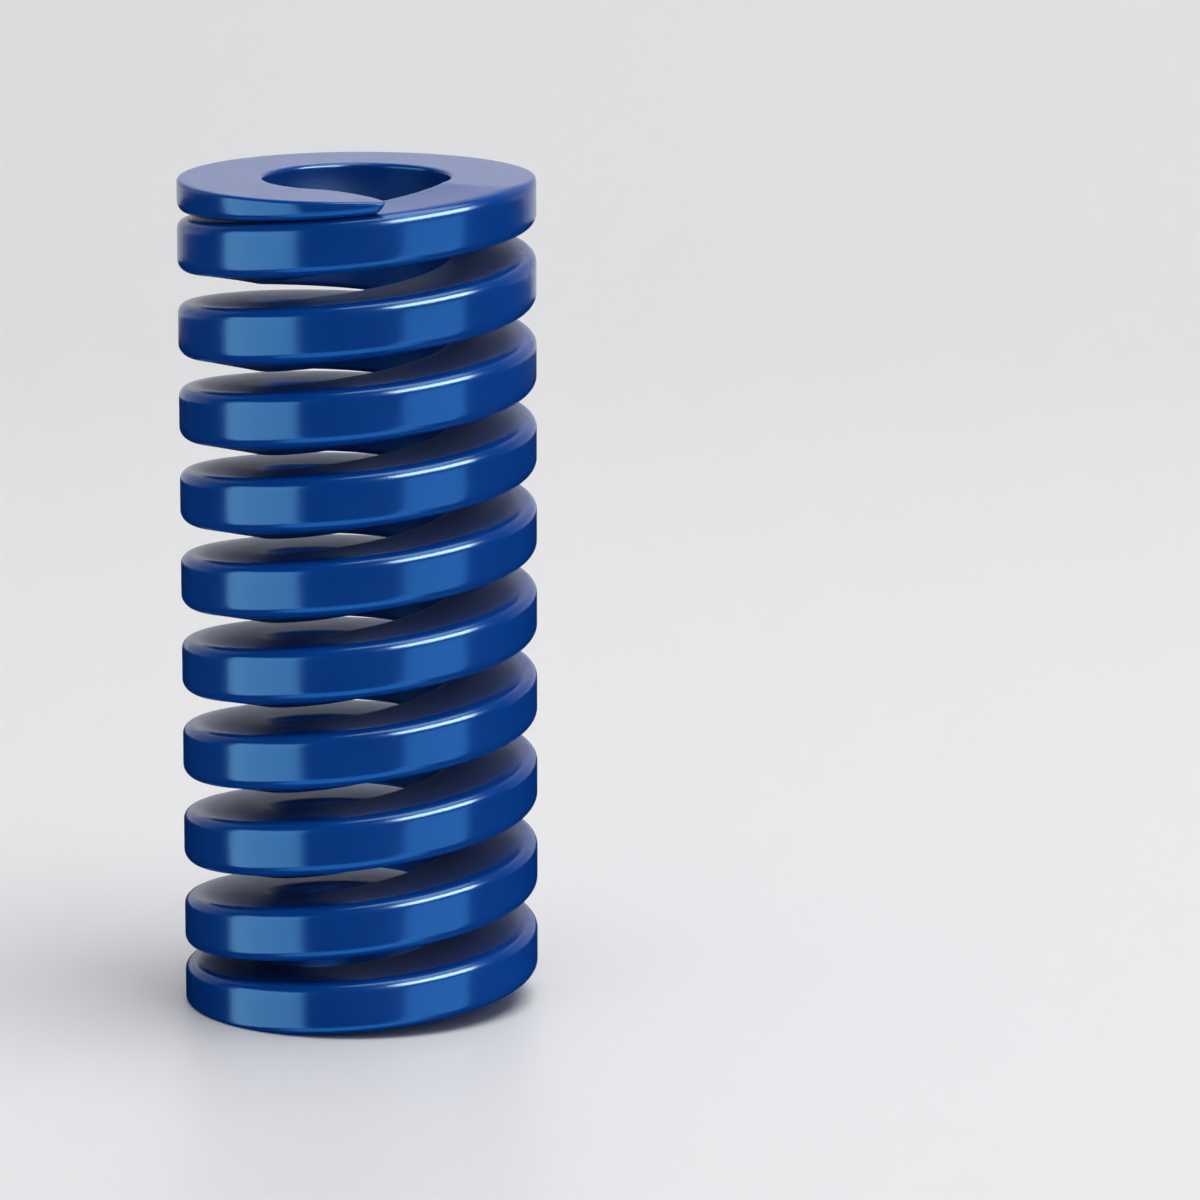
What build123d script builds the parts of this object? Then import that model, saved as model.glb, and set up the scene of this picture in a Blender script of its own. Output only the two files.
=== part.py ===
from build123d import *
from math import cos, pi, sin, sqrt
import os

os.makedirs("parts", exist_ok=True)

# Die spring, all sizes in mm. It stands on its ground end, axis on Z, base at z = 0.
outer_diameter = 49.0
bore_diameter = 25.6
free_length = 115.0

wire_height = 7.2
outer_edge_break = 0.95
inner_edge_break = 0.8

# Winding, counted in turns from +X and rising anticlockwise.
first_turn = 0.06
last_turn = 10.78
closing_turns = 1.0
tip_turns = 0.09
coil_gap = 0.1
lower_lean = 1.1
upper_lean = 0.4
lower_tip = 3.2
upper_tip = 1.8
sections_per_turn = 12
sections_per_length = 40
trim = 0.4

wire_width = (outer_diameter - bore_diameter) / 2
middle_radius = (outer_diameter + bore_diameter) / 4
open_turns = last_turn - first_turn - 2
pitch = (free_length - lower_tip - upper_tip - wire_height - 2 * coil_gap) / open_turns
end_drop = pitch - wire_height - coil_gap
first_height = lower_tip - wire_height / 2 - end_drop

# Coiling upsets the wire on its inner side and stretches it on the outer one.
bend_strain = wire_width / (4 * middle_radius)
inner_height = wire_height * (1 + bend_strain) / (1 - bend_strain)


def ease(x):
    """Smooth step: 0 up to x = 0, 1 from x = 1 on."""
    x = min(max(x, 0), 1)
    return x * x * (3 - 2 * x)


def rise(turn):
    """Height of the wire's middle: an even pitch, except where the end turns close on their
    neighbours, and a slight lean of the coils that fades upwards."""
    lower = end_drop * (1 - ease((turn - first_turn) / closing_turns))
    upper = end_drop * ease((turn - last_turn + closing_turns) / closing_turns)
    lean = lower_lean + (upper_lean - lower_lean) * (turn - first_turn) / (last_turn - first_turn)
    return first_height + pitch * (turn - first_turn) + lower - upper + lean * cos(2 * pi * turn)


def inner_rise(turn):
    """How far the upper side slopes up towards the bore: not at all where coils lie closed."""
    from_closed = min(turn - first_turn - 1, last_turn - turn - 0.55)
    return (inner_height - wire_height) * ease(from_closed / closing_turns)


def width_left(turn):
    """Share of the wire's width: all of it, then a quarter of an ellipse to each tip."""
    run = max(first_turn - turn, turn - last_turn) / tip_turns + 1
    return sqrt(1 - min(max(run, 0), 0.97) ** 2)


# The wire is wound through upright sections, trim wider each side than the finished coil. Towards
# each tip its inner side runs out to the outer one, which leaves a rounded tongue. The second number
# of each corner counts downwards.
steps = round((last_turn - first_turn) * sections_per_turn)
evenly = [first_turn + (last_turn - first_turn) * step / steps for step in range(2, steps - 1)]
run_out = [tip_turns * (1 - sin(pi * step / 10)) for step in range(5)]
stations = [first_turn + run for run in reversed(run_out)] + evenly + [last_turn - run for run in run_out]
with BuildPart() as spring:
    for start in range(0, len(stations) - 1, sections_per_length):
        with BuildPart() as length:
            for turn in stations[start : start + sections_per_length + 1]:
                outward = Vector(cos(2 * pi * turn), sin(2 * pi * turn), 0)
                onward = Vector(-sin(2 * pi * turn), cos(2 * pi * turn), 0)
                outer = outer_diameter / 2 + trim
                inner = outer_diameter / 2 - wire_width * width_left(turn) - trim
                half_height = wire_height / 2
                inner_crown = -half_height - inner_rise(turn)
                with BuildSketch(Plane(origin=Vector(0, 0, rise(turn)), x_dir=outward, z_dir=onward)):
                    with BuildLine():
                        Polyline(
                            (inner, inner_crown + inner_edge_break + trim),
                            (inner + inner_edge_break + trim, inner_crown),
                            (outer - outer_edge_break - trim, -half_height),
                            (outer, -half_height + outer_edge_break + trim),
                            (outer, half_height - outer_edge_break - trim),
                            (outer - outer_edge_break - trim, half_height),
                            (inner + inner_edge_break + trim, half_height),
                            (inner, half_height - inner_edge_break - trim),
                            close=True,
                        )
                    make_face()
            loft()
            # Each length is turned to size outside and cleared inside, then joins the one below.
            Cylinder(outer_diameter / 2, 3 * free_length, mode=Mode.INTERSECT)
            Cylinder(bore_diameter / 2, 3 * free_length, mode=Mode.SUBTRACT)

    # Both ends are ground flat and square to the axis.
    with Locations((0, 0, free_length / 2)):
        Cylinder(outer_diameter, free_length, mode=Mode.INTERSECT)

spring.part.label = "spring"
export_step(spring.part, "parts/spring.step")
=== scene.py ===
import math

import bpy
import numpy as np
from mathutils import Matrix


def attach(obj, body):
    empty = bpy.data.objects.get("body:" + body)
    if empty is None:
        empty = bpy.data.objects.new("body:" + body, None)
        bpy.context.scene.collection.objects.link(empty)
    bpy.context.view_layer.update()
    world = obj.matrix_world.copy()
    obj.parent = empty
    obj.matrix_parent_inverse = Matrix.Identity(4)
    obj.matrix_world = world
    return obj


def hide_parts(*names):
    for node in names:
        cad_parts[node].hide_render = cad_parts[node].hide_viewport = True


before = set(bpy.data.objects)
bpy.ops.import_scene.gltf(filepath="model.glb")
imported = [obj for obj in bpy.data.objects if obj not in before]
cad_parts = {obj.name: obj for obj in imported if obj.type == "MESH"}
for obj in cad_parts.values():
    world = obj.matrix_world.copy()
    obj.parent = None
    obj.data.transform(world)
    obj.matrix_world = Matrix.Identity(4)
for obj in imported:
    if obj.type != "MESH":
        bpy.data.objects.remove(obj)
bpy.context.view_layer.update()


# ---- Spring ----------------------------------------------------------------------------------
# One length of heavy flattened steel wire with rounded edges, wound right-handed on a mandrel.
# The end turns are laid down on their neighbours and ground flat, and the whole is sprayed with enamel.

OUTER_RADIUS = 0.0245
BORE_RADIUS = 0.0128
FREE_LENGTH = 0.115
WIRE_HEIGHT = 0.0072
OUTER_CORNER = 0.0015
INNER_CORNER = 0.0007
GROUND_EDGE = 0.0005

FIRST_TURN = 0.06
LAST_TURN = 10.78
CLOSING_TURNS = 1.0
LOWER_CLOSED_TURNS = 1.0
UPPER_CLOSED_TURNS = 0.55
TIP_TURNS = 0.09
TIP_ROUND = 0.0013
COIL_GAP = 0.0001
LOWER_LEAN = 0.0011
UPPER_LEAN = 0.0004
MIDDLE_LIFT = 0.0009
LOWER_TIP = 0.0032
UPPER_TIP = 0.0018

WIRE_WIDTH = OUTER_RADIUS - BORE_RADIUS
PITCH = (FREE_LENGTH - LOWER_TIP - UPPER_TIP - WIRE_HEIGHT - 2 * COIL_GAP) / (LAST_TURN - FIRST_TURN - 2)
END_DROP = PITCH - WIRE_HEIGHT - COIL_GAP
FIRST_HEIGHT = LOWER_TIP - WIRE_HEIGHT / 2 - END_DROP
BEND_STRAIN = WIRE_WIDTH / (2 * (OUTER_RADIUS + BORE_RADIUS))
INNER_HEIGHT = WIRE_HEIGHT * (1 + BEND_STRAIN) / (1 - BEND_STRAIN)

SPRAY_DEPTH = 0.006
SPRAY_DEPTH_BELOW = 0.002

RINGS_PER_TURN = 104
TIP_RINGS = 25
HALVINGS = 26


def ease(x):
    """0 below 0, 1 above 1, and the cubic 3x^2 - 2x^3 between them."""
    x = np.clip(x, 0, 1)
    return x * x * (3 - 2 * x)


def wire_middle(turn):
    """Height of the wire's middle: an even pitch times the turn, plus the drop of the closing turn at
    the start, less the same drop at the end, plus a lift of the middle coils that goes with the square
    of a sine from end to end, plus a lean that goes with the cosine of the angle and fades evenly
    upwards."""
    lower = END_DROP * (1 - ease((turn - FIRST_TURN) / CLOSING_TURNS))
    upper = END_DROP * ease((turn - LAST_TURN + CLOSING_TURNS) / CLOSING_TURNS)
    share = (turn - FIRST_TURN) / (LAST_TURN - FIRST_TURN)
    lift = MIDDLE_LIFT * np.sin(np.pi * share) ** 2
    lean = LOWER_LEAN + (UPPER_LEAN - LOWER_LEAN) * share
    even = FIRST_HEIGHT + PITCH * (turn - FIRST_TURN)
    return even + lower - upper + lift + lean * np.cos(2 * np.pi * turn)


def inner_drop(turn):
    """How far the under side slopes down towards the bore: the coiled wire's extra height there, eased
    in over one turn from where the coils part."""
    from_closed = np.minimum(turn - FIRST_TURN - LOWER_CLOSED_TURNS, LAST_TURN - turn - UPPER_CLOSED_TURNS)
    return (INNER_HEIGHT - WIRE_HEIGHT) * ease(from_closed / CLOSING_TURNS)


def outline_distance(x, z, half_x, half_z, mid_z, inner_corner, outer_corner):
    """Distance outside a rectangle with rounded corners, below zero inside: the corner's radius is
    taken off both half sizes, what is left over is the length of the part beyond them, less the radius."""
    radius = np.where(x < 0, inner_corner, outer_corner)
    radius = np.minimum(radius, np.minimum(half_x, half_z))
    over_x = np.abs(x) - half_x + radius
    over_z = np.abs(z - mid_z) - half_z + radius
    beyond = np.hypot(np.maximum(over_x, 0), np.maximum(over_z, 0))
    return beyond + np.minimum(np.maximum(over_x, over_z), 0) - radius


def section_rays():
    """Unit-square boundary points, once round from the inner lower corner: each side's points crowd
    towards its two corners, so that rays through them meet the rounded corners at small steps."""
    near = np.array([0.0, 0.035, 0.085, 0.15, 0.235, 0.34, 0.46, 0.62])
    side = np.concatenate([near, 2 - near[::-1]])[:-1] - 1
    ones = np.ones_like(side)
    x = np.concatenate([side, ones, -side, -ones])
    z = np.concatenate([-ones, side, ones, -side])
    return x, z


def spring_mesh():
    """Rings of the wire's upright section along its turns. A section is the overlap of the wire's own
    rounded outline, which climbs with the turn, and the outline of the ground spring, which stays. Each
    point lies where its ray from the section's middle first leaves the overlap, found by halving."""
    along = np.arange(FIRST_TURN + TIP_TURNS, LAST_TURN - TIP_TURNS, 1 / RINGS_PER_TURN)
    run_out = TIP_TURNS * (1 - np.sin(np.linspace(0, np.pi / 2, TIP_RINGS + 1)))[1:]
    turn = np.concatenate([FIRST_TURN + run_out[::-1], along, LAST_TURN - run_out])
    turn = np.unique(turn)

    # Near a tip the inner side runs out to the outer one on a quarter ellipse, and the last of it is
    # rounded off from its under side.
    from_end = np.minimum(turn - FIRST_TURN, LAST_TURN - turn)
    width = WIRE_WIDTH * np.sqrt(1 - np.clip(1 - from_end / TIP_TURNS, 0, 0.9995) ** 2)
    arc = from_end * 2 * np.pi * OUTER_RADIUS
    height_left = np.sqrt(1 - np.clip(1 - arc / TIP_ROUND, 0, 0.995) ** 2)

    middle = wire_middle(turn)
    low = middle - WIRE_HEIGHT / 2
    high = middle + WIRE_HEIGHT / 2
    top_tip = turn > (FIRST_TURN + LAST_TURN) / 2
    low = np.where(top_tip, FREE_LENGTH - (FREE_LENGTH - low) * height_left, low)
    high = np.where(top_tip, high, high * height_left)

    half_x = (width / 2)[:, None]
    low = low[:, None]
    high = high[:, None]
    drop = inner_drop(turn)[:, None]
    ground_high = np.minimum(high, FREE_LENGTH)
    mid_z = (ground_high + np.maximum(low - drop / 2, 0)) / 2

    ray_x, ray_z = section_rays()
    ground_low = np.maximum(low - drop * (1 - ray_x) / 2, 0)
    x = ray_x * half_x
    z = (ground_high + ground_low) / 2 + ray_z * (ground_high - ground_low) / 2 - mid_z
    inside = np.zeros(x.shape)
    outside = np.ones(x.shape)
    for _ in range(HALVINGS):
        part_way = (inside + outside) / 2
        px = x * part_way
        pz = mid_z + z * part_way
        # The wire's own outline is a plain rounded rectangle once its extra inner height is taken out.
        taller = (high - low + drop * (half_x - px) / (2 * half_x)) / (high - low)
        wire_z = high - (high - pz) / taller
        half_z = (high - low) / 2
        wire = outline_distance(px, wire_z, half_x, half_z, low + half_z, INNER_CORNER, OUTER_CORNER)
        ground = outline_distance(px, pz, half_x, FREE_LENGTH / 2, FREE_LENGTH / 2, GROUND_EDGE, GROUND_EDGE)
        out = np.maximum(wire, ground) > 0
        outside = np.where(out, part_way, outside)
        inside = np.where(out, inside, part_way)
    radius = (OUTER_RADIUS - width / 2)[:, None] + x * inside
    height = mid_z + z * inside
    angle = (2 * np.pi * turn)[:, None]
    rings = np.stack([radius * np.cos(angle), radius * np.sin(angle), height], axis=-1)

    count, around = radius.shape
    tips = np.stack([rings[0].mean(axis=0), rings[-1].mean(axis=0)])
    points = np.concatenate([rings.reshape(-1, 3), tips])
    a = (np.arange(count - 1)[:, None] * around + np.arange(around)[None, :]).ravel()
    b = (np.arange(count - 1)[:, None] * around + (np.arange(around) + 1)[None, :] % around).ravel()
    quads = np.stack([a, a + around, b + around, b], axis=1)
    here = np.arange(around)
    following = (here + 1) % around
    last = (count - 1) * around
    start_fan = np.stack([np.full(around, count * around), here, following], axis=1)
    end_fan = np.stack([np.full(around, count * around + 1), last + following, last + here], axis=1)

    mesh = bpy.data.meshes.new("enamelled_coil")
    mesh.vertices.add(len(points))
    mesh.vertices.foreach_set("co", points.ravel())
    corners = np.concatenate([quads.ravel(), start_fan.ravel(), end_fan.ravel()])
    mesh.loops.add(len(corners))
    mesh.loops.foreach_set("vertex_index", corners)
    starts = np.concatenate([np.arange(len(quads)) * 4, 4 * len(quads) + np.arange(2 * around) * 3])
    mesh.polygons.add(len(starts))
    mesh.polygons.foreach_set("loop_start", starts)
    mesh.polygons.foreach_set("use_smooth", np.ones(len(starts), bool))
    mesh.update(calc_edges=True)
    mesh.validate()

    # 0 on the outer wall and the ground ends, 1 on what lies deeper between the coils.
    deep = ease((half_x - x * inside) / SPRAY_DEPTH)
    deep = deep * ease((FREE_LENGTH - height) / SPRAY_DEPTH) * ease(height / SPRAY_DEPTH_BELOW)
    between = mesh.attributes.new("between_coils", "FLOAT", "POINT")
    between.data.foreach_set("value", np.append(deep.ravel(), (0, 0)))
    return mesh


class Wire:
    """A shader socket that takes part in Python sums: each operator adds one Math node."""

    def __init__(self, tree, socket):
        self.tree = tree
        self.socket = socket

    def _math(self, operation, first, second):
        node = self.tree.nodes.new("ShaderNodeMath")
        node.operation = operation
        for place, value in enumerate((first, second)):
            if isinstance(value, Wire):
                self.tree.links.new(value.socket, node.inputs[place])
            else:
                node.inputs[place].default_value = value
        return Wire(self.tree, node.outputs[0])

    def __add__(self, other):
        return self._math("ADD", self, other)

    def __radd__(self, other):
        return self._math("ADD", other, self)

    def __mul__(self, other):
        return self._math("MULTIPLY", self, other)

    def __rmul__(self, other):
        return self._math("MULTIPLY", other, self)


class Finish:
    """A material and the one method that adds nodes to it."""

    def __init__(self, name):
        self.material = bpy.data.materials.new(name)
        self.material.use_nodes = True
        self.tree = self.material.node_tree
        self.tree.nodes.clear()

    def node(self, kind, output=0, settings=None, **inputs):
        """Adds a node: settings first, then each input by name, a value or a Wire."""
        node = self.tree.nodes.new(kind)
        for key, value in (settings or {}).items():
            if key == "stops":
                for place, (at, colour) in enumerate(value):
                    ramp = node.color_ramp.elements
                    stop = ramp[place] if place < 2 else ramp.new(at)
                    stop.position = at
                    stop.color = colour
            else:
                setattr(node, key, value)
        for key, value in inputs.items():
            socket = node.inputs[key.replace("_", " ")]
            if isinstance(value, Wire):
                self.tree.links.new(value.socket, socket)
            else:
                socket.default_value = value
        return Wire(self.tree, node.outputs[output]) if node.outputs else None


def blue_enamel():
    """Deep blue stoving enamel: one glossy skin with a fine orange peel, a little deeper in colour and
    a little duller in soft clouds, and duller still between the coils, where the spray hardly reached."""
    paint = Finish("blue_enamel")
    place = paint.node("ShaderNodeTexCoord", output=3)
    ripple = paint.node("ShaderNodeTexNoise", Vector=place, Scale=520.0, Detail=2.0, Roughness=0.55)
    swell = paint.node("ShaderNodeTexNoise", Vector=place, Scale=130.0, Detail=1.0, Roughness=0.5)
    grain = paint.node("ShaderNodeTexNoise", Vector=place, Scale=2400.0, Detail=2.0, Roughness=0.6)
    cloud = paint.node("ShaderNodeTexNoise", Vector=place, Scale=60.0, Detail=3.0, Roughness=0.6)
    between = paint.node("ShaderNodeAttribute", output=2, settings={"attribute_name": "between_coils"})
    peel = ripple * 0.55 + swell * 1.0 + grain * 0.12
    relief = paint.node("ShaderNodeBump", Height=peel, Strength=0.35, Distance=0.00006)
    colour = paint.node(
        "ShaderNodeValToRGB",
        settings={"stops": [(0.3, (0.0001, 0.041, 0.245, 1)), (0.7, (0.0002, 0.050, 0.290, 1))]},
        Fac=cloud,
    )
    skin = paint.node(
        "ShaderNodeBsdfPrincipled",
        Base_Color=colour,
        Roughness=0.15 + cloud * 0.08 + between * 0.30,
        Normal=relief,
        Specular_Tint=(0.55, 0.86, 1.0, 1),
    )
    paint.node("ShaderNodeOutputMaterial", Surface=skin)
    return paint.material


coil = bpy.data.objects.new("enamelled_coil", spring_mesh())
bpy.context.scene.collection.objects.link(coil)
coil.data.materials.append(blue_enamel())
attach(coil, "root")
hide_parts("spring")


# ---- Floor and backdrop ------------------------------------------------------------------------
# Pale grey board: a flat sheet under the spring, and behind it a second one swept up in a wide curve.

FLOOR_FRONT = -1.4
FLOOR_BACK = 0.55
SWEEP = 0.45
SHEET_TOP = 2.4
SHEET_HALF = 2.6


def sheet_mesh(name, y, z):
    """A profile in y and z, drawn straight across from side to side."""
    left = np.stack([np.full_like(y, -SHEET_HALF), y, z], axis=1)
    right = left * (-1, 1, 1)
    count = len(y)
    a = np.arange(count - 1)
    quads = np.stack([a, a + count, a + count + 1, a + 1], axis=1)
    mesh = bpy.data.meshes.new(name)
    mesh.from_pydata(np.concatenate([left, right]).tolist(), [], quads.tolist())
    mesh.polygons.foreach_set("use_smooth", np.ones(len(quads), bool))
    mesh.update()
    return mesh


def pale_board():
    """Matt pale grey board with a faint sheen."""
    board = Finish("pale_board")
    place = board.node("ShaderNodeTexCoord", output=3)
    tooth = board.node("ShaderNodeTexNoise", Vector=place, Scale=900.0, Detail=2.0, Roughness=0.5)
    matt = board.node(
        "ShaderNodeBsdfPrincipled",
        Base_Color=(0.71, 0.708, 0.718, 1),
        Roughness=0.38 + tooth * 0.04,
        Specular_IOR_Level=0.35,
    )
    board.node("ShaderNodeOutputMaterial", Surface=matt)
    return board.material


board = pale_board()
curve = np.linspace(0, np.pi / 2, 25)
sheets = {
    "floor_sheet": (np.array([FLOOR_FRONT, FLOOR_BACK]), np.zeros(2)),
    "backdrop_sheet": (
        np.append(FLOOR_BACK + SWEEP * np.sin(curve), FLOOR_BACK + SWEEP),
        np.append(SWEEP * (1 - np.cos(curve)), SHEET_TOP),
    ),
}
for name, (y, z) in sheets.items():
    sheet = bpy.data.objects.new(name, sheet_mesh(name, y, z))
    bpy.context.scene.collection.objects.link(sheet)
    sheet.data.materials.append(board)
# The enamel doesn't mirror the floor: the tinted panels show in its place.
bpy.data.objects["floor_sheet"].visible_glossy = False


# ---- Studio light ------------------------------------------------------------------------------
# A wide soft box overhead and an even room give the light. Tinted panels round the front, below and
# above the spring's own level, give no diffuse light and show in the gloss of the enamel.


def soft_box(name, at, width, height, power, colour=(1, 1, 1)):
    """An area lamp of the given size that faces the middle of the spring."""
    light = bpy.data.lights.new(name, "AREA")
    light.shape = "RECTANGLE"
    light.size = width
    light.size_y = height
    light.energy = power
    light.color = colour
    lamp = bpy.data.objects.new(name, light)
    bpy.context.scene.collection.objects.link(lamp)
    lamp.location = at
    heading = np.array((0, 0, FREE_LENGTH / 2)) - np.array(at)
    across = math.hypot(heading[0], heading[1])
    lamp.rotation_euler = (math.atan2(across, -heading[2]), 0, math.atan2(-heading[0], heading[1]))
    return lamp


soft_box("top_box", (0.35, -0.15, 1.5), 1.2, 1.2, 22.5)
panels = [
    soft_box("left_panel", (-1.08, -0.52, -0.10), 1.22, 1.30, 27.0, (0.39, 0.76, 1.0)),
    soft_box("right_panel", (0.95, -0.73, -0.35), 1.00, 0.80, 11.0, (0.15, 0.52, 1.0)),
    soft_box("right_strip", (0.80, -0.67, 0.66), 1.20, 0.55, 56.0),
    soft_box("low_panel", (0.0, -0.60, -0.90), 1.60, 0.80, 16.0, (0.10, 0.50, 1.0)),
]
for panel in panels:
    panel.visible_diffuse = False

world = bpy.data.worlds.new("studio")
world.use_nodes = True
world.node_tree.nodes["Background"].inputs["Color"].default_value = (0.97, 0.98, 1.0, 1)
world.node_tree.nodes["Background"].inputs["Strength"].default_value = 0.38
world.cycles_visibility.glossy = False
bpy.context.scene.world = world
bpy.context.scene.view_settings.view_transform = "Standard"


# ---- Camera ------------------------------------------------------------------------------------
# A long lens a metre in front, looking down on the spring a little, which stands left of the middle.

CAMERA_DISTANCE = 0.9792
CAMERA_PITCH = math.radians(11.588)
AIM_X = 0.03317
AIM_Z = 0.0561

lens = bpy.data.cameras.new("camera")
lens.sensor_width = 36.0
lens.lens = 213.1
lens.clip_start = 0.05
camera = bpy.data.objects.new("camera", lens)
bpy.context.scene.collection.objects.link(camera)
camera.location = (
    AIM_X,
    -CAMERA_DISTANCE * math.cos(CAMERA_PITCH),
    AIM_Z + CAMERA_DISTANCE * math.sin(CAMERA_PITCH),
)
camera.rotation_euler = (math.pi / 2 - CAMERA_PITCH, 0, 0)
bpy.context.scene.camera = camera
